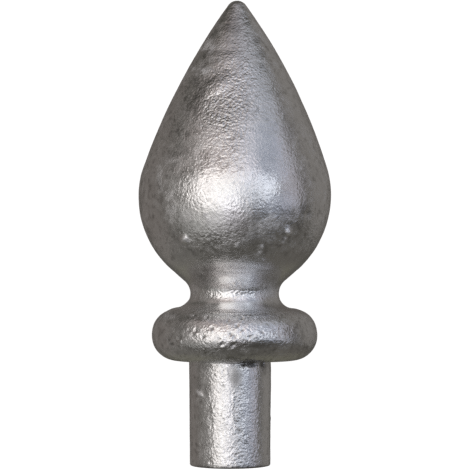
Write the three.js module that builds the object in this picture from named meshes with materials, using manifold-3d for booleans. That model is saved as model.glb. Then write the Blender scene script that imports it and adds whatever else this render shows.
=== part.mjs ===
// Teardrop fence finial in cast iron: a pointed bulb on a waisted neck, a rounded collar and a plain round spigot.
// It is one solid casting, in millimetres with +Z up, and stands on the end of its spigot.
// The origin is the centre of the spigot's end face. X and Z are the directions of the front view.

import * as THREE from 'three'
import { mergeVertices } from 'three/addons/utils/BufferGeometryUtils.js'
import Module from 'manifold-3d'

// Spigot: the round pin that goes down into a post
const spigotLength = 24.55
const spigotFootRadius = 9.4
const spigotTopRadius = 9.6
const spigotEdgeRound = 0.4
const spigotRoot = 6

// Collar: the round bead whose flat underside sits on the post
const collarRadius = 19.35
const collarLowerRound = 5.8
const collarUpperRound = 6.3
const collarShoulderSlope = 85.4

// Neck: the waist between collar and bulb
const neckRadius = 10.35
const neckFillet = 4.0
const flareSlope = 49.2

// Bulb: a teardrop whose sides are arcs that run into each other
const bulbRadius = 22.5
const bellyLowerRound = 23.2
const bellyUpperRound = 20.7
const flankStartSlope = 18.25
const flankRound = 139.7
const tipRound = 2.55

// The two halves of the casting don't quite line up: the body sits beside the spigot's axis, and its top leans
const bodyOffset = 1.05
const topLean = 0.6
const leanStartHeight = 55
const leanEndHeight = 100

// The facets: how many go round, and how far an outline's chord may stand off its arc
const facetsRound = 64
const outlineSag = 0.03

const cos = (degrees) => Math.cos(THREE.MathUtils.degToRad(degrees))
const sin = (degrees) => Math.sin(THREE.MathUtils.degToRad(degrees))

// An outline as a chain of tangent arcs and straights, in radius and height.
// A slope is the angle from straight up, positive where the outline widens.
class Outline {
  constructor(radius, height, slope) {
    this.points = [new THREE.Vector2(radius, height)]
    this.slope = slope
  }

  get end() {
    return this.points.at(-1)
  }

  line(length) {
    const step = new THREE.Vector2(sin(this.slope), cos(this.slope)).multiplyScalar(length)
    this.points.push(this.end.clone().add(step))
    return this
  }

  arc(radius, slopeTo) {
    const from = this.slope
    const start = this.end
    const turn = Math.sign(slopeTo - from) * radius
    const facetAngle = 2 * THREE.MathUtils.radToDeg(Math.acos(1 - outlineSag / radius))
    const steps = Math.ceil(Math.abs(slopeTo - from) / facetAngle)
    for (let i = 1; i <= steps; i += 1) {
      const slope = from + ((slopeTo - from) * i) / steps
      const dr = turn * (cos(from) - cos(slope))
      const dz = turn * (sin(slope) - sin(from))
      this.points.push(new THREE.Vector2(start.x + dr, start.y + dz))
    }
    this.slope = slopeTo
    return this
  }

  // The arc's rounding leaves the last point a hair off the axis, so it is set there
  closeOnAxis() {
    this.end.x = 0
    return this.points
  }
}

function lathe(points) {
  const turned = new THREE.LatheGeometry(points, facetsRound)
  return turned.rotateX(Math.PI / 2)
}

// Collar, neck and bulb in one outline, from the axis at the seat to the axis at the tip
function bodyGeometry() {
  const shoulderRadius = collarRadius - collarUpperRound * (1 - cos(collarShoulderSlope))
  const shoulderFillet = (shoulderRadius - neckRadius) / (1 - cos(collarShoulderSlope))
  const flareFoot = neckRadius + neckFillet * (1 - cos(flareSlope))
  const flareTop = bulbRadius - bellyLowerRound * (1 - cos(flareSlope))
  const flankStart = bulbRadius - bellyUpperRound * (1 - cos(flankStartSlope))
  const flankEndCosine = (flankRound * cos(flankStartSlope) - flankStart) / (flankRound - tipRound)
  const flankEndSlope = THREE.MathUtils.radToDeg(Math.acos(flankEndCosine))

  const outline = new Outline(0, spigotLength, 90)
    .line(collarRadius - collarLowerRound)
    .arc(collarLowerRound, 0)
    .arc(collarUpperRound, -collarShoulderSlope)
    .arc(shoulderFillet, 0)
    .arc(neckFillet, flareSlope)
    .line((flareTop - flareFoot) / sin(flareSlope))
    .arc(bellyLowerRound, 0)
    .arc(bellyUpperRound, -flankStartSlope)
    .arc(flankRound, -flankEndSlope)
    .arc(tipRound, -90)
    .closeOnAxis()
  return lathe(outline)
}

// The spigot's outline, with a small round at its foot. Its root is buried in the collar.
function spigotGeometry() {
  const draft = (spigotTopRadius - spigotFootRadius) / spigotLength
  const rootHeight = spigotLength + spigotRoot
  const rootRadius = spigotFootRadius + draft * rootHeight
  const outline = new Outline(0, 0, 90)
    .line(spigotFootRadius - spigotEdgeRound)
    .arc(spigotEdgeRound, 0)
    .points
  outline.push(new THREE.Vector2(rootRadius, rootHeight))
  outline.push(new THREE.Vector2(0, rootHeight))
  return lathe(outline)
}

// How far the body's axis stands beside the spigot's at a height
function axisShift(height) {
  return bodyOffset + topLean * THREE.MathUtils.smoothstep(height, leanStartHeight, leanEndHeight)
}

function leanBody(geometry) {
  const position = geometry.getAttribute('position')
  for (let i = 0; i < position.count; i += 1) {
    position.setX(i, position.getX(i) + axisShift(position.getZ(i)))
  }
  return geometry
}

const wasm = await Module()
wasm.setup()

function toSolid(geometry) {
  geometry.deleteAttribute('normal')
  geometry.deleteAttribute('uv')
  const merged = mergeVertices(geometry)
  return new wasm.Manifold(new wasm.Mesh({
    numProp: 3,
    vertProperties: merged.getAttribute('position').array,
    triVerts: merged.getIndex().array,
  }))
}

function toGeometry(solid) {
  const mesh = solid.getMesh()
  const geometry = new THREE.BufferGeometry()
  geometry.setAttribute('position', new THREE.BufferAttribute(mesh.vertProperties, 3))
  geometry.setIndex(new THREE.BufferAttribute(mesh.triVerts, 1))
  geometry.computeVertexNormals()
  return geometry
}

const castIron = new THREE.MeshStandardMaterial({
  name: 'cast_iron',
  color: 0x9a9792,
  roughness: 0.42,
  metalness: 1,
})

const casting = toSolid(leanBody(bodyGeometry())).add(toSolid(spigotGeometry()))
const finialCasting = new THREE.Mesh(toGeometry(casting), castIron)
finialCasting.name = 'finial_casting'

const finial = new THREE.Group()
finial.add(finialCasting)

export default finial
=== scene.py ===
import math

import bpy
import numpy as np
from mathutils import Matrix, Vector, noise


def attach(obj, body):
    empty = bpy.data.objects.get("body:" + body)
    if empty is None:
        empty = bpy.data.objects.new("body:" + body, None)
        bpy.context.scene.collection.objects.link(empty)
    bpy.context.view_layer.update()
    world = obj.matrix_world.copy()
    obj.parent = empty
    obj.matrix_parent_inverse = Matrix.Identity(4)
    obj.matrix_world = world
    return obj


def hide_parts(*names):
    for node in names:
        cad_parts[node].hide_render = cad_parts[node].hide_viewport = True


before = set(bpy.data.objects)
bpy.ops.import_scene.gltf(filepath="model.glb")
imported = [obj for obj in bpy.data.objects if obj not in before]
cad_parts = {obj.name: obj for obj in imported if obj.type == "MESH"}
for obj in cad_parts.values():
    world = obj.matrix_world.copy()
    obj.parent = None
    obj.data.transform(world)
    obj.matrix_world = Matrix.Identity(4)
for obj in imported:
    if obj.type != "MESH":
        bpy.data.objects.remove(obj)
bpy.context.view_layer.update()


# The finial: bulb, neck, collar and spigot, cast in grey iron as one piece from a pattern turned in wood.
# Its spigot goes down into a post until the collar's flat underside beds on it. The outline runs from the
# middle of the spigot's foot, along that underside, and up to the tip. All sizes are in metres.
spigot_length = 0.02455
spigot_foot_radius = 0.0094
spigot_top_radius = 0.0096
spigot_edge_round = 0.0004

collar_radius = 0.01935
collar_lower_round = 0.0058
collar_upper_round = 0.0063
collar_shoulder_slope = math.radians(85.4)

neck_radius = 0.01035
neck_fillet = 0.004
flare_slope = math.radians(49.2)

bulb_radius = 0.0225
belly_lower_round = 0.0232
belly_upper_round = 0.0207
flank_start_slope = math.radians(18.25)
flank_round = 0.1397
tip_round = 0.00255

# The pattern's halves don't quite line up: the body sits beside the spigot's axis, and its top leans
body_offset = 0.00105
top_lean = 0.0006
lean_start_height = 0.055
lean_end_height = 0.1

# The outline's points lie closest where collar and neck carry the finest marks
flat_spacing = 0.002
detailed_spacing = 0.00031
plain_spacing = 0.00045
widest_turn = math.radians(12)
facets_round = 300


class Outline:
    """A chain of tangent arcs and straights, as points of radius and height.

    A slope is the angle from straight up, positive where the outline widens.
    """

    def __init__(self, radius, height, slope):
        self.points = [(radius, height)]
        self.slope = slope
        self.spacing = flat_spacing

    def line(self, length):
        radius, height = self.points[-1]
        steps = max(1, round(length / self.spacing))
        for i in range(1, steps + 1):
            along = length * i / steps
            self.points.append((radius + along * math.sin(self.slope), height + along * math.cos(self.slope)))

    def arc(self, arc_radius, slope_to):
        radius, height = self.points[-1]
        turn = slope_to - self.slope
        steps = math.ceil(max(abs(turn) * arc_radius / self.spacing, abs(turn) / widest_turn))
        signed = math.copysign(arc_radius, turn)
        for i in range(1, steps + 1):
            slope = self.slope + turn * i / steps
            self.points.append((
                radius + signed * (math.cos(self.slope) - math.cos(slope)),
                height + signed * (math.sin(slope) - math.sin(self.slope)),
            ))
        self.slope = slope_to


spigot_draft = math.atan((spigot_top_radius - spigot_foot_radius) / spigot_length)
spigot = Outline(0, 0, math.pi / 2)
spigot.line(spigot_foot_radius - spigot_edge_round)
spigot.spacing = plain_spacing
spigot.arc(spigot_edge_round, spigot_draft)
spigot.line((spigot_length - spigot.points[-1][1]) / math.cos(spigot_draft))

shoulder_radius = collar_radius - collar_upper_round * (1 - math.cos(collar_shoulder_slope))
shoulder_fillet = (shoulder_radius - neck_radius) / (1 - math.cos(collar_shoulder_slope))
flare_foot = neck_radius + neck_fillet * (1 - math.cos(flare_slope))
flare_top = bulb_radius - belly_lower_round * (1 - math.cos(flare_slope))
flank_start = bulb_radius - belly_upper_round * (1 - math.cos(flank_start_slope))
flank_end_cosine = (flank_round * math.cos(flank_start_slope) - flank_start) / (flank_round - tip_round)
flank_end_slope = math.acos(flank_end_cosine)

seat_inner, seat_outer = spigot.points[-1][0], collar_radius - collar_lower_round
body = Outline(seat_inner, spigot_length, math.pi / 2)
body.line(seat_outer - seat_inner)
body.spacing = detailed_spacing
body.arc(collar_lower_round, 0)
body.arc(collar_upper_round, -collar_shoulder_slope)
body.arc(shoulder_fillet, 0)
body.arc(neck_fillet, flare_slope)
body.line((flare_top - flare_foot) / math.sin(flare_slope))
body.spacing = plain_spacing
body.arc(belly_lower_round, 0)
body.arc(belly_upper_round, -flank_start_slope)
body.arc(flank_round, -flank_end_slope)
body.arc(tip_round, -math.pi / 2)
body.points[-1] = (0, body.points[-1][1])


def smooth_step(value, start, end):
    share = min(1, max(0, (value - start) / (end - start)))
    return share * share * (3 - 2 * share)


def body_shift(radius, height):
    """How far the body stands beside the spigot's axis: none at the spigot, all of it past the flat seat."""
    on_seat = smooth_step(radius, seat_inner, seat_outer) if height == spigot_length else 1
    return on_seat * (body_offset + top_lean * smooth_step(height, lean_start_height, lean_end_height))


# Each point of the outline carries a radius in X, the sideways shift in Y and a height in Z
outline_points = [(radius, 0, height) for radius, height in spigot.points]
outline_points += [(radius, body_shift(radius, height), height) for radius, height in body.points[1:]]
outline_mesh = bpy.data.meshes.new("outline")
outline_mesh.from_pydata(outline_points, [], [])


# Its body follows from the outline by Geometry Nodes. A grid is wrapped round the axis, with one row for each
# outline point, and closed at seam and poles. Its skin is moved in and out by what a sand mould leaves: slow
# ripples, a coarse grain, and beads where the iron ran into small holes in the sand.
class Tree:
    """Adds nodes to a tree and links them, for a Geometry Nodes group or a material alike."""

    def __init__(self, tree):
        self.nodes = tree.nodes
        self.links = tree.links

    def add(self, kind, inputs=None, **settings):
        node = self.nodes.new(kind)
        for name, value in settings.items():
            setattr(node, name, value)
        for key, value in (inputs or {}).items():
            socket = node.inputs[key]
            if isinstance(value, bpy.types.NodeSocket):
                self.links.new(value, socket)
            else:
                socket.default_value = value
        return node

    def math(self, operation, first, second=0.0):
        return self.add("ShaderNodeMath", {0: first, 1: second}, operation=operation).outputs[0]

    def noise(self, where, size, detail, roughness):
        """Noise whose features are about size metres across, as a number round 0.5."""
        return self.add(
            "ShaderNodeTexNoise",
            {"Vector": where, "Scale": 1 / size, "Detail": detail, "Roughness": roughness},
        ).outputs[0]

    def ramp(self, value, low, high, to_low=0.0, to_high=1.0):
        """A value that goes smoothly from to_low to to_high while the given one goes from low to high."""
        return self.add(
            "ShaderNodeMapRange",
            {"Value": value, "From Min": low, "From Max": high, "To Min": to_low, "To Max": to_high},
            interpolation_type="SMOOTHSTEP",
        ).outputs["Result"]


group = bpy.data.node_groups.new("sand cast body", "GeometryNodeTree")
group.interface.new_socket("Outline", in_out="INPUT", socket_type="NodeSocketGeometry")
for name, kind in {
    "Facets round": "NodeSocketInt",
    "Crowding to the front": "NodeSocketFloat",
    "Ripple height": "NodeSocketFloat",
    "Ripple size": "NodeSocketFloat",
    "Grain height": "NodeSocketFloat",
    "Grain size": "NodeSocketFloat",
    "Beads per square metre": "NodeSocketFloat",
    "Bead radius": "NodeSocketFloat",
    "Bead height": "NodeSocketFloat",
    "Bead seed": "NodeSocketInt",
    "Skin": "NodeSocketMaterial",
}.items():
    group.interface.new_socket(name, in_out="INPUT", socket_type=kind)
group.interface.new_socket("Casting", in_out="OUTPUT", socket_type="NodeSocketGeometry")

tree = Tree(group)
sizes = tree.add("NodeGroupInput").outputs
outline_size = tree.add("GeometryNodeAttributeDomainSize", {"Geometry": sizes["Outline"]}, component="MESH")
rows = outline_size.outputs["Point Count"]
columns = tree.math("ADD", sizes["Facets round"], 1)
grid = tree.add("GeometryNodeMeshGrid", {"Vertices X": columns, "Vertices Y": rows}).outputs["Mesh"]

# The grid's points are counted column by column, so a point's index gives its column and row
rounding_guard = 0.5
index = tree.add("GeometryNodeInputIndex").outputs[0]
column = tree.math("FLOOR", tree.math("DIVIDE", tree.math("ADD", index, rounding_guard), rows))
row = tree.math("SUBTRACT", index, tree.math("MULTIPLY", column, rows))

# The facets crowd towards the front, where the marks are
even_angle = tree.math("DIVIDE", tree.math("MULTIPLY", column, 2 * math.pi), sizes["Facets round"])
crowding = tree.math("MULTIPLY", tree.math("SINE", even_angle), sizes["Crowding to the front"])
angle = tree.math("SUBTRACT", even_angle, crowding)
here = tree.add("GeometryNodeInputPosition").outputs[0]
on_outline = tree.add(
    "GeometryNodeSampleIndex",
    {"Geometry": sizes["Outline"], "Value": here, "Index": row},
    data_type="FLOAT_VECTOR",
    domain="POINT",
).outputs["Value"]
radius, shift, height = tree.add("ShaderNodeSeparateXYZ", {0: on_outline}).outputs
across = tree.math("MULTIPLY", radius, tree.math("SINE", angle))
away = tree.math("MULTIPLY", tree.math("MULTIPLY", radius, -1), tree.math("COSINE", angle))
turned = tree.add("ShaderNodeCombineXYZ", {0: tree.math("ADD", across, shift), 1: away, 2: height}).outputs[0]
wrapped = tree.add("GeometryNodeSetPosition", {"Geometry": grid, "Position": turned}).outputs[0]
seam_gap = 1e-7
closed = tree.add("GeometryNodeMergeByDistance", {"Geometry": wrapped, "Distance": seam_gap}).outputs[0]


def swell(size, height):
    """Noise about size across, from minus height to plus height."""
    scale = tree.math("DIVIDE", 1, size)
    waves = tree.add("ShaderNodeTexNoise", {"Vector": here, "Scale": scale, "Detail": 1.0}).outputs[0]
    noise_middle = 0.5
    centred = tree.math("SUBTRACT", waves, noise_middle)
    return tree.math("MULTIPLY", centred, tree.math("MULTIPLY", height, 2))


ripple = swell(sizes["Ripple size"], sizes["Ripple height"])
grain = swell(sizes["Grain size"], sizes["Grain height"])
beads = tree.add(
    "GeometryNodeDistributePointsOnFaces",
    {"Mesh": closed, "Density": sizes["Beads per square metre"], "Seed": sizes["Bead seed"]},
).outputs["Points"]
to_bead = tree.add("GeometryNodeProximity", {"Geometry": beads}, target_element="POINTS").outputs["Distance"]
off_bead = tree.math("MINIMUM", tree.math("DIVIDE", to_bead, sizes["Bead radius"]), 1)
near_bead = tree.math("SUBTRACT", 1, off_bead)
bead_roundness = 0.6
bead = tree.math("MULTIPLY", tree.math("POWER", near_bead, bead_roundness), sizes["Bead height"])

# The spigot's foot and the collar's seat stay flat, as they are where the finial stands and where it beds
outwards = tree.add("GeometryNodeInputNormal").outputs[0]
upwards = tree.add("ShaderNodeSeparateXYZ", {0: outwards}).outputs[2]
not_flat = tree.ramp(upwards, low=-0.98, high=-0.8)
relief = tree.math("MULTIPLY", tree.math("ADD", tree.math("ADD", ripple, grain), bead), not_flat)
push = tree.add("ShaderNodeVectorMath", {0: outwards, "Scale": relief}, operation="SCALE").outputs["Vector"]
moved = tree.add("GeometryNodeSetPosition", {"Geometry": closed, "Offset": push}).outputs[0]
smooth = tree.add("GeometryNodeSetShadeSmooth", {"Geometry": moved}).outputs[0]
real = tree.add("GeometryNodeRealizeInstances", {"Geometry": smooth}).outputs[0]
skinned = tree.add("GeometryNodeSetMaterial", {"Geometry": real, "Material": sizes["Skin"]}).outputs[0]
tree.add("NodeGroupOutput", {0: skinned})


# Its skin is bare metal, blast-cleaned and left unpainted. The silver is broken by the grain of the sand, by
# freckles of dull oxide, and by the smut and brown stains that the blasting left.
skin = bpy.data.materials.new("bare_cast_iron")
skin.use_nodes = True
skin.node_tree.nodes.clear()
tree = Tree(skin.node_tree)
where = tree.add("ShaderNodeTexCoord").outputs["Object"]


def painted(name):
    """A value that is worked into the mesh point by point further on."""
    return tree.add("ShaderNodeAttribute", attribute_name=name).outputs["Fac"]


grain = painted("grain")
blotches = tree.noise(where, size=0.0042, detail=5.0, roughness=0.6)
mottle = tree.noise(where, size=0.0015, detail=3.0, roughness=0.65)

# Oxide stays only where the cast skin does, and makes it rougher
cast_skin = tree.math("MINIMUM", grain, painted("oxide"))
freckled = tree.math(
    "ADD",
    tree.ramp(blotches, low=0.46, high=0.66, to_high=0.2),
    tree.ramp(mottle, low=0.48, high=0.72, to_high=0.3),
)
dull = tree.math("MAXIMUM", tree.math("MULTIPLY", freckled, cast_skin), painted("dull"))
dull_roughness = 0.6
polish = tree.ramp(grain, low=0.05, high=0.55, to_low=0.28, to_high=0.27)
roughness = tree.math("ADD", polish, tree.math("MULTIPLY", dull, dull_roughness))

# Smut lies in the hollows of the same noises, and makes it darker
smutted = tree.math(
    "ADD",
    tree.ramp(blotches, low=0.56, high=0.34, to_high=0.12),
    tree.ramp(mottle, low=0.5, high=0.3, to_high=0.4),
)
# The marks' dark value joins the smut here: real stains in some places, painted shade in pits, creases,
# hollows and round the highlights in others
stain_and_shade = tree.math("MAXIMUM", tree.math("MULTIPLY", smutted, cast_skin), painted("dark"))
clean_iron = (0.83, 0.83, 0.83, 1)
stain_and_shade_iron = (0.09, 0.083, 0.072, 1)
colour = tree.add("ShaderNodeMix", {0: stain_and_shade, 6: clean_iron, 7: stain_and_shade_iron}, data_type="RGBA").outputs[2]

# The finest grain of the sand is a bump, a little deeper here and shallower there
grain_depth = 0.00011
fine_size = 0.0005
cell_size = 0.0009
cell_depth = 0.5
fine = tree.noise(where, size=fine_size, detail=1.0, roughness=0.5)
cells = tree.add(
    "ShaderNodeTexVoronoi",
    {"Vector": where, "Scale": 1 / cell_size, "Smoothness": 0.4},
    feature="SMOOTH_F1",
).outputs["Distance"]
peel = tree.math("SUBTRACT", fine, tree.math("MULTIPLY", cells, cell_depth))
clouds = tree.noise(where, size=0.0125, detail=3.0, roughness=0.5)
cloudiness = tree.ramp(clouds, low=0.35, high=0.65, to_low=0.85, to_high=1.15)
coarseness = tree.math("MULTIPLY", cloudiness, grain)
bump = tree.add(
    "ShaderNodeBump",
    {"Height": peel, "Distance": grain_depth, "Strength": coarseness},
).outputs[0]
shader = tree.add(
    "ShaderNodeBsdfPrincipled",
    {"Base Color": colour, "Metallic": 1.0, "Roughness": roughness, "Normal": bump},
)
tree.add("ShaderNodeOutputMaterial", {"Surface": shader.outputs[0]})

# The outline carries the group as a modifier, and what that makes becomes the finial's own mesh
casting = bpy.data.objects.new("finial", outline_mesh)
bpy.context.scene.collection.objects.link(casting)
shaping = casting.modifiers.new("casting", "NODES")
shaping.node_group = group
socket_of = {item.name: item.identifier for item in group.interface.items_tree if item.in_out == "INPUT"}
for name, value in {
    "Facets round": facets_round,
    "Crowding to the front": 0.4,
    "Ripple height": 0.00008,
    "Ripple size": 0.007,
    "Grain height": 0.00003,
    "Grain size": 0.0018,
    "Beads per square metre": 4000.0,
    "Bead radius": 0.0006,
    "Bead height": 0.00012,
    "Bead seed": 7,
    "Skin": skin,
}.items():
    shaping[socket_of[name]] = value
finished = bpy.data.meshes.new_from_object(casting.evaluated_get(bpy.context.evaluated_depsgraph_get()))
casting.modifiers.clear()
casting.data = finished
finished.name = "finial"


# Its marks are those of this one casting, where the sand crumbled, the iron ran, or the blasting left a stain
# or bared the metal, with painted shade in its pits, creases and hollows and round its highlights. They lie
# on the side that faces the camera, so each is placed by where the camera sees it, in pixels of its picture.
camera_distance = 0.554
camera_side, camera_height = 0.00115, 0.0538
image_side = 470
distance_in_pixels = 2370

count = len(finished.vertices)
place, outward = np.empty(count * 3), np.empty(count * 3)
finished.vertices.foreach_get("co", place)
finished.vertex_normals.foreach_get("vector", outward)
place, outward = place.reshape(-1, 3), outward.reshape(-1, 3)
scale = distance_in_pixels / (place[:, 1] + camera_distance)
column_of = image_side / 2 + scale * (place[:, 0] - camera_side)
row_of = image_side / 2 - scale * (place[:, 2] - camera_height)
turned_away = 0.3
faces_camera = outward[:, 1] < turned_away

# Marks have crumbly edges, from noise in three sizes
crumbs = {0.0016: 1, 0.0007: 0.7, 0.0003: 0.5}
crumble = np.array([
    sum(noise.noise(Vector(point) / size) * weight for size, weight in crumbs.items())
    for point in place
])

# What the marks change at each point: how far it is raised, and four values that the skin reads
worked = {
    "raised": np.zeros(count),
    "dull": np.zeros(count),
    "dark": np.zeros(count),
    "grain": np.ones(count),
    "oxide": np.ones(count),
}
edge_steepness = 3
millimetres_in_metre = 1000


def mark(column, row, wide, tall, turn=0, ragged=0.25, all_round=False, **change):
    """Works a change into the skin in an oval of half sizes wide and tall, in pixels, turned clockwise.

    A change in raised is in millimetres and adds up. Grain and oxide go to the value given, which is 1 on
    plain skin. Dull and dark are 0 there, and the strongest mark counts.
    """
    across, down = column_of - column, row_of - row
    turned_by = math.radians(turn)
    along = across * math.cos(turned_by) + down * math.sin(turned_by)
    beside = down * math.cos(turned_by) - across * math.sin(turned_by)
    away = np.hypot(0 if all_round else along / wide, beside / tall) + ragged * crumble
    share = np.exp(-np.clip(away, 0, None) ** edge_steepness)
    if not all_round:
        share = share * faces_camera
    for name, amount in change.items():
        if name == "raised":
            worked[name] += share * amount / millimetres_in_metre
        elif name in ("grain", "oxide"):
            worked[name] += share * (amount - worked[name])
        else:
            worked[name] = np.maximum(worked[name], share * amount)


# Bulb: beads of iron, with the paler skin round them
mark(column=184.5, row=239, wide=3.2, tall=3.4, ragged=0.1, raised=0.6, dull=0.55, oxide=0)
mark(column=189, row=241, wide=2.5, tall=2, raised=0.1, dull=0.8)
mark(column=205, row=215, wide=2.5, tall=2.5, raised=0.1, dull=0.8)
mark(column=208, row=220, wide=2, tall=2, raised=0.08, dull=0.8)
mark(column=288, row=232, wide=3, tall=3, ragged=0.1, raised=0.55, dull=0.55, oxide=0)
mark(column=285, row=238, wide=2, tall=2, raised=0.12, dull=0.9)
mark(column=283, row=242, wide=1.8, tall=1.8, raised=0.1, dull=0.8)
mark(column=262, row=246, wide=2.5, tall=2, raised=0.1, dull=0.8)
mark(column=260, row=252, wide=2.5, tall=2, raised=0.1, dull=0.8)
mark(column=237, row=245, wide=2.2, tall=2.2, raised=0.1, dull=0.8)
mark(column=273, row=219, wide=5, tall=2, raised=0.08, dull=0.5)
mark(column=292, row=210, wide=2, tall=2.2, raised=0.12, dull=0.6)
# A small pit, with painted shade in it
mark(column=308, row=213, wide=2.5, tall=2.5, raised=-0.15, dark=0.5)
mark(column=173, row=258, wide=2.5, tall=2.5, dark=0.4)

# Bulb: duller skin down its left side and round its foot, painted shade in two places, and a low swelling on
# the left
mark(column=160, row=180, wide=5, tall=12, ragged=1, dull=0.6)
mark(column=172, row=160, wide=8, tall=4, ragged=1, dull=0.5)
mark(column=170, row=196, wide=5, tall=8, ragged=1, dull=0.55)
mark(column=172, row=211, wide=7, tall=10, ragged=1, dull=0.55)
mark(column=186, row=216, wide=8, tall=8, ragged=0.8, dull=0.35)
mark(column=207, row=221, wide=10, tall=4, ragged=0.8, dull=0.35)
mark(column=218, row=231, wide=7, tall=3, ragged=0.8, dull=0.5)
mark(column=238, row=239, wide=10, tall=4, ragged=0.8, dull=0.2)
# Painted shade under the belly and along the lower edge of the highlight
mark(column=250, row=237, wide=12, tall=6, ragged=0.5, dark=0.3)
mark(column=218, row=211, wide=24, tall=7, ragged=0.4, dark=0.15)
mark(column=171, row=193, wide=16, tall=24, ragged=0, raised=0.26)
mark(column=267, row=226, wide=23, tall=8, turn=-20, ragged=0.9, dull=0.45)
mark(column=268, row=238, wide=12, tall=5, ragged=1, dull=0.3)

# Bulb: low ridges, dull patches, bared metal, dark stains and painted shade, most of them up towards the tip
mark(column=215.5, row=87, wide=14, tall=7.5, turn=-31, ragged=0.1, raised=0.37)
mark(column=229, row=83, wide=13, tall=7, turn=-25, ragged=0.3, oxide=0)
mark(column=249, row=76, wide=12, tall=16, ragged=0.3, oxide=0.1)
mark(column=221, row=59, wide=18, tall=7, turn=-5, ragged=0.2, raised=0.13)
mark(column=222, row=91, wide=12, tall=4, turn=-22, ragged=0.5, dull=0.1)
mark(column=208, row=46, wide=7, tall=7, turn=30, ragged=0.9, dull=0.8)
mark(column=220, row=47, wide=10, tall=5, ragged=0.9, dull=0.3, oxide=0.2)
mark(column=202, row=70, wide=9, tall=5, ragged=0.9, dull=0.7)
mark(column=265, row=62, wide=5, tall=2, turn=30, ragged=0.6, dull=0.5)
mark(column=228, row=24, wide=4, tall=9, turn=15, ragged=0.9, dark=0.5)
mark(column=238, row=31, wide=6, tall=6, ragged=0.9, dark=0.3)
mark(column=256, row=40, wide=4, tall=5, turn=-20, ragged=0.8, dark=0.35)
mark(column=261, row=55, wide=6, tall=5, ragged=0.9, dark=0.3)
mark(column=214, row=53, wide=10, tall=3, ragged=0.9, dark=0.25)
mark(column=211, row=61, wide=10, tall=5, ragged=0.9, dull=0.5)
# Painted shade in a band along the upper side of the low ridge
mark(column=208, row=82, wide=11, tall=4, turn=-28, ragged=0.9, dark=0.35)
mark(column=197, row=84, wide=5, tall=6, turn=20, ragged=0.8, dark=0.4)
mark(column=197, row=103, wide=8, tall=17, turn=15, ragged=0.8, dark=0.5)
mark(column=224, row=103, wide=17, tall=8, ragged=0.9, dark=0.2)
mark(column=226, row=117, wide=22, tall=14, ragged=0.6, dark=0.28)
mark(column=233, row=27, wide=10, tall=12, ragged=0.6, dark=0.35)
mark(column=246, row=106, wide=7, tall=14, turn=-10, ragged=0.8, dark=0.25)
mark(column=290, row=128, wide=7, tall=8, ragged=0.8, dark=0.25)
mark(column=186, row=150, wide=7, tall=6, ragged=0.9, dark=0.3)
mark(column=304, row=208, wide=7, tall=5, turn=-45, ragged=0.8, dark=0.4)
mark(column=287, row=212, wide=11, tall=5, turn=-20, ragged=0.8, dark=0.35)

# Bulb: the sand lay coarse on its upper front, and finer on its right and down its belly
mark(column=228, row=92, wide=30, tall=42, ragged=0.3, grain=2.2)
mark(column=222, row=110, wide=19, tall=20, turn=10, ragged=0.3, grain=2.9)
mark(column=284, row=130, wide=32, tall=75, ragged=0.3, grain=0.65)
mark(column=285, row=190, wide=30, tall=30, ragged=0.3, grain=0.45)
mark(column=262, row=152, wide=17, tall=26, ragged=0.2, grain=0.55)
mark(column=266, row=148, wide=20, tall=28, ragged=0.2, oxide=0.1)
mark(column=225, row=186, wide=28, tall=16, ragged=0.3, grain=0.6)
mark(column=220, row=218, wide=55, tall=16, ragged=0.3, grain=0.45)

# Neck: smooth above and below, with a ring's groove, a torn crease, a rough strip, a hollow root and painted
# shade
mark(column=235, row=270, wide=60, tall=16, ragged=0.15, all_round=True, grain=0.12)
mark(column=235, row=305, wide=60, tall=6, ragged=0.1, all_round=True, grain=0.12)
mark(column=235, row=271.5, wide=60, tall=1.3, ragged=0.2, all_round=True, raised=-0.04)
# Painted shade darkens the groove and the crease
mark(column=220, row=271.5, wide=6, tall=1.6, ragged=0.3, raised=-0.08, dark=0.35)
mark(column=243, row=289.6, wide=18, tall=1.2, ragged=0.8, raised=-0.05, dark=0.35)
mark(column=230, row=294, wide=36, tall=4, ragged=0.2, grain=1.4, oxide=0.1)
mark(column=204, row=294, wide=8, tall=4, ragged=0.3, raised=0.17)
mark(column=270, row=290, wide=10, tall=9, ragged=0.2, dull=0.5)
mark(column=195, row=292, wide=5, tall=8, ragged=0.2, dull=0.35)
mark(column=238, row=310.5, wide=27, tall=3.2, ragged=0.1, raised=-0.26)
# Painted shade along the root, where the neck meets the collar
mark(column=238, row=312, wide=25, tall=1.1, ragged=0.2, dark=0.6)
mark(column=180, row=305.5, wide=13, tall=6, ragged=0, raised=0.28)
# Painted shade in three places on the left of the neck
mark(column=206, row=278, wide=6, tall=9, ragged=0.4, dark=0.3)
mark(column=209, row=268, wide=8, tall=7, ragged=0.4, dark=0.4)
mark(column=216, row=305, wide=5, tall=4, ragged=0.2, dark=0.2)

# Collar: its lower front is flatter, and its top a little fuller and rougher, with clean metal amid painted
# shade
mark(column=255, row=353, wide=40, tall=9.5, ragged=0, raised=-0.3)
# Painted shade below the middle of the highlight
mark(column=256, row=345, wide=30, tall=4, turn=-3, ragged=0.3, dark=0.45)
mark(column=235, row=319, wide=80, tall=8, ragged=0.1, all_round=True, raised=0.14)
# Painted shade at both ends of the highlight
mark(column=294, row=336, wide=8, tall=9, ragged=0.8, dark=0.35)
mark(column=182, row=328, wide=8, tall=6, ragged=0.6, dark=0.25)
mark(column=262, row=329, wide=22, tall=6, ragged=0.3, oxide=0.3)
mark(column=215, row=327, wide=30, tall=5, ragged=0.3, oxide=0.2)
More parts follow.
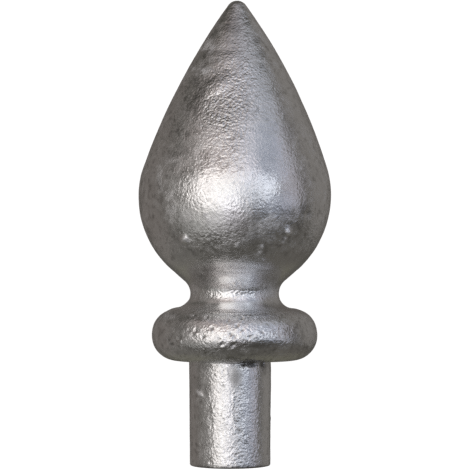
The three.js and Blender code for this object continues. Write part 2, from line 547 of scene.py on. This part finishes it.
# Painted shade below the highlight's left half, in the gap under the neck's root, and where it meets the neck
mark(column=212, row=343, wide=22, tall=3.5, ragged=0.4, dark=0.25)
mark(column=205, row=348, wide=22, tall=4, ragged=0.6, dark=0.3)
mark(column=235, row=318.5, wide=40, tall=2, ragged=0.6, dark=0.25)
mark(column=285, row=308, wide=26, tall=5, turn=8, ragged=0.5, dark=0.35)
mark(column=225, row=334, wide=50, tall=11, ragged=0.2, grain=1.3)
mark(column=169, row=317, wide=10, tall=5, ragged=0.4, dull=0.5)


def pit(column, row, size):
    """A small pit darkened with painted shade, with a raised rim below it, where a grain of sand was washed
    in.
    """
    half_width = size * 1.2
    rim_drop = size * 2.2
    mark(column=column, row=row, wide=half_width, tall=size * 1.1, raised=-0.18, dark=0.55)
    mark(column=column, row=row + rim_drop, wide=half_width, tall=size * 0.8, raised=0.14)


# Collar: small pits all over its top
pit(column=231, row=334, size=1.5)
pit(column=235, row=337, size=1.7)
pit(column=233, row=345, size=2.2)
pit(column=207, row=318, size=1.4)
pit(column=195, row=316, size=1.3)
pit(column=189, row=331, size=1.5)
pit(column=196, row=331, size=1.3)
pit(column=180, row=338, size=1.5)
pit(column=169, row=340, size=1.4)
pit(column=172, row=344, size=1.5)
pit(column=223, row=344, size=1.6)
pit(column=237, row=326, size=1.4)
pit(column=212, row=328, size=1.5)
pit(column=219, row=339, size=1.4)
pit(column=203, row=337, size=1.3)
pit(column=242, row=330, size=1.2)
pit(column=250, row=337, size=1.3)
pit(column=262, row=332, size=1.2)
pit(column=228, row=322, size=1.2)
pit(column=242, row=319, size=1.3)

# Spigot: a hollow under the collar, a ground flat patch, a scratch, some dents, and painted shade round its
# foot
# Painted shade fills the hollow under the collar and the corner beside it
mark(column=250, row=363.5, wide=12, tall=2.8, ragged=0.7, raised=-0.35, dark=1)
mark(column=265, row=366, wide=5, tall=6, ragged=0.6, dark=0.5)
mark(column=235.5, row=378, wide=6.8, tall=11, ragged=0.1, grain=0, dark=0.45, dull=0.5)
mark(column=246, row=379, wide=3.5, tall=12, ragged=0.1, grain=0.1, oxide=0)
mark(column=251, row=380, wide=4, tall=11, ragged=0.1, grain=0.1, dark=0.08)
mark(column=227, row=418, wide=10, tall=48, ragged=0.2, grain=1.15)
mark(column=256, row=405, wide=13, tall=55, ragged=0.2, grain=0.85, oxide=0.1)
# Painted shade under the collar and down the spigot's left side
mark(column=205, row=366, wide=6, tall=5, ragged=0.5, dark=0.3)
mark(column=205, row=438, wide=4, tall=30, ragged=0.6, dark=0.12)
mark(column=199.5, row=393, wide=2, tall=5, turn=-45, ragged=0.05, raised=0.4, dull=0.9, oxide=0)
# Painted shade in the dents
mark(column=223.5, row=370.5, wide=1.3, tall=1.3, raised=-0.08, dark=0.7)
mark(column=223, row=385, wide=1.3, tall=1.3, raised=-0.08, dark=0.7)
mark(column=239, row=431.5, wide=2, tall=1.5, raised=-0.12, dark=0.6)
mark(column=209.5, row=397.5, wide=1.2, tall=1.2, raised=0.08)
mark(column=213, row=410, wide=1.2, tall=1.2, raised=0.08)
mark(column=207.5, row=429.5, wide=1.5, tall=1.5, raised=0.1)
mark(column=211.5, row=448.8, wide=1.5, tall=1.5, raised=0.1)
# Painted shade round the foot, where it meets the floor
mark(column=230, row=468.5, wide=50, tall=3, ragged=0.1, all_round=True, dark=0.7)

finished.vertices.foreach_set("co", (place + outward * worked.pop("raised")[:, None]).ravel())
for name, values in worked.items():
    finished.attributes.new(name, "FLOAT", "POINT").data.foreach_set("value", values)
finished.update()
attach(casting, "root")
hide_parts("finial_casting")


# The floor is a wide bowl of white paper, flat under the finial and curved up into walls far behind it.
# Only the camera sees it, so it throws no light or shade on the finial.
floor_reach = 1.6
floor_curve = 0.8
wall_height = 2.6
roof_rise = 0.6
curve_steps = 12
bowl_facets = 96
profile = [(0, 0), (floor_reach - floor_curve, 0)]
for step in range(1, curve_steps + 1):
    bend = math.pi / 2 * step / curve_steps
    profile.append((
        floor_reach - floor_curve + floor_curve * math.sin(bend),
        floor_curve * (1 - math.cos(bend)),
    ))
profile.append((floor_reach, wall_height))
profile.append((0, wall_height + roof_rise))

bowl_points, bowl_faces = [], []
for facet in range(bowl_facets):
    turn = 2 * math.pi * facet / bowl_facets
    bowl_points += [(reach * math.cos(turn), reach * math.sin(turn), height) for reach, height in profile]
    left = facet * len(profile)
    right = (facet + 1) % bowl_facets * len(profile)
    bowl_faces += [(left + up, right + up, right + up + 1, left + up + 1) for up in range(len(profile) - 1)]
bowl_mesh = bpy.data.meshes.new("floor")
bowl_mesh.from_pydata(bowl_points, [], bowl_faces)
floor = bpy.data.objects.new("floor", bowl_mesh)
bpy.context.scene.collection.objects.link(floor)

paper_glow = 0.87
paper_white = 0.8
paper = bpy.data.materials.new("white_paper")
paper.use_nodes = True
paper.node_tree.nodes.clear()
tree = Tree(paper.node_tree)
glow = tree.add("ShaderNodeEmission", {"Color": (1, 1, 1, 1), "Strength": paper_glow}).outputs[0]
matt = tree.add("ShaderNodeBsdfDiffuse", {"Color": (paper_white, paper_white, paper_white, 1)}).outputs[0]
both = tree.add("ShaderNodeAddShader", {0: glow, 1: matt}).outputs[0]
tree.add("ShaderNodeOutputMaterial", {"Surface": both})
floor.data.materials.append(paper)
floor.visible_glossy = False
floor.visible_diffuse = False
floor.visible_shadow = False


# Soft studio light: cloth panels stand round the finial at one distance, each set by the direction it lies
# in. The broad key is in front on the left, a cooler panel on the right makes the second highlight, and the
# room itself is dim and warm.
room_colour = (0.09, 0.085, 0.075, 1)
world = bpy.data.worlds.new("room")
world.use_nodes = True
world.node_tree.nodes["Background"].inputs["Color"].default_value = room_colour
bpy.context.scene.world = world

white_cloth = (1, 1, 0.98)
cream_cloth = (1, 0.94, 0.92)
rose_cloth = (1, 0.85, 0.82)
straw_cloth = (1, 1, 0.6)
lilac_cloth = (0.92, 0.88, 1)
cool_cloth = (0.85, 0.9, 1)
blue_cloth = (0.6, 0.72, 1)

panel_distance = 1.2
aim_height = 0.055
aim = Vector((body_offset, 0, aim_height))


def panel(name, azimuth, elevation, wide, tall, radiance, colour):
    """A soft panel wide by tall degrees, seen from the finial at an azimuth to the right of the camera."""
    aside, up = math.radians(azimuth), math.radians(elevation)
    direction = Vector((math.sin(aside) * math.cos(up), -math.cos(aside) * math.cos(up), math.sin(up)))
    lamp = bpy.data.lights.new(name, "AREA")
    lamp.shape = "RECTANGLE"
    lamp.size = 2 * panel_distance * math.tan(math.radians(wide / 2))
    lamp.size_y = 2 * panel_distance * math.tan(math.radians(tall / 2))
    lamp.energy = radiance * math.pi * lamp.size * lamp.size_y
    lamp.color = colour
    stand = bpy.data.objects.new(name, lamp)
    stand.location = aim + direction * panel_distance
    stand.rotation_euler = direction.to_track_quat("Z", "Y").to_euler()
    stand.visible_camera = False
    bpy.context.scene.collection.objects.link(stand)


panel("key", azimuth=-22, elevation=5, wide=50, tall=45, radiance=1, colour=white_cloth)
panel("key_left", azimuth=-36, elevation=4, wide=24, tall=40, radiance=0.45, colour=rose_cloth)
panel("core_low", azimuth=-5, elevation=-10, wide=24, tall=24, radiance=0.75, colour=lilac_cloth)
panel("high_front", azimuth=-8, elevation=32, wide=60, tall=26, radiance=0.5, colour=rose_cloth)
panel("front_right", azimuth=15, elevation=10, wide=20, tall=40, radiance=0.7, colour=cool_cloth)
panel("cool_side", azimuth=39, elevation=9, wide=22, tall=26, radiance=1.25, colour=cool_cloth)
panel("cool_high", azimuth=35, elevation=32, wide=60, tall=30, radiance=0.27, colour=blue_cloth)
panel("cool_top", azimuth=45, elevation=52, wide=60, tall=20, radiance=0.38, colour=cool_cloth)
panel("cool_low", azimuth=50, elevation=-10, wide=50, tall=20, radiance=0.26, colour=blue_cloth)
panel("low_left", azimuth=-38, elevation=-30, wide=50, tall=20, radiance=0.35, colour=white_cloth)
panel("floor_front", azimuth=-10, elevation=-32, wide=40, tall=16, radiance=0.2, colour=lilac_cloth)
panel("top", azimuth=0, elevation=68, wide=50, tall=24, radiance=0.27, colour=lilac_cloth)
panel("warm_top", azimuth=-50, elevation=50, wide=50, tall=24, radiance=0.25, colour=rose_cloth)
panel("right", azimuth=72, elevation=12, wide=24, tall=50, radiance=0.36, colour=lilac_cloth)
panel("left", azimuth=-75, elevation=10, wide=30, tall=60, radiance=0.15, colour=cream_cloth)
panel("left_back", azimuth=-125, elevation=0, wide=50, tall=60, radiance=0.09, colour=rose_cloth)
panel("right_back", azimuth=125, elevation=15, wide=50, tall=70, radiance=0.13, colour=cream_cloth)
panel("back", azimuth=180, elevation=20, wide=50, tall=50, radiance=0.06, colour=rose_cloth)
panel("floor_back", azimuth=180, elevation=-55, wide=60, tall=50, radiance=0.05, colour=straw_cloth)
panel("floor_left", azimuth=-120, elevation=-45, wide=60, tall=40, radiance=0.05, colour=cream_cloth)
panel("floor_right", azimuth=120, elevation=-45, wide=60, tall=40, radiance=0.02, colour=rose_cloth)


# The camera looks level at the middle of the finial. Colours are shown plainly, and nothing smooths the
# picture, because a denoiser takes the iron's grain for noise.
film_width = 36
camera_data = bpy.data.cameras.new("camera")
camera_data.sensor_width = film_width
camera_data.lens = film_width * distance_in_pixels / image_side
camera = bpy.data.objects.new("camera", camera_data)
camera.location = (camera_side, -camera_distance, camera_height)
camera.rotation_euler = (math.pi / 2, 0, 0)
bpy.context.scene.collection.objects.link(camera)
bpy.context.scene.camera = camera
bpy.context.scene.view_settings.view_transform = "Standard"
bpy.context.scene.cycles.use_denoising = False
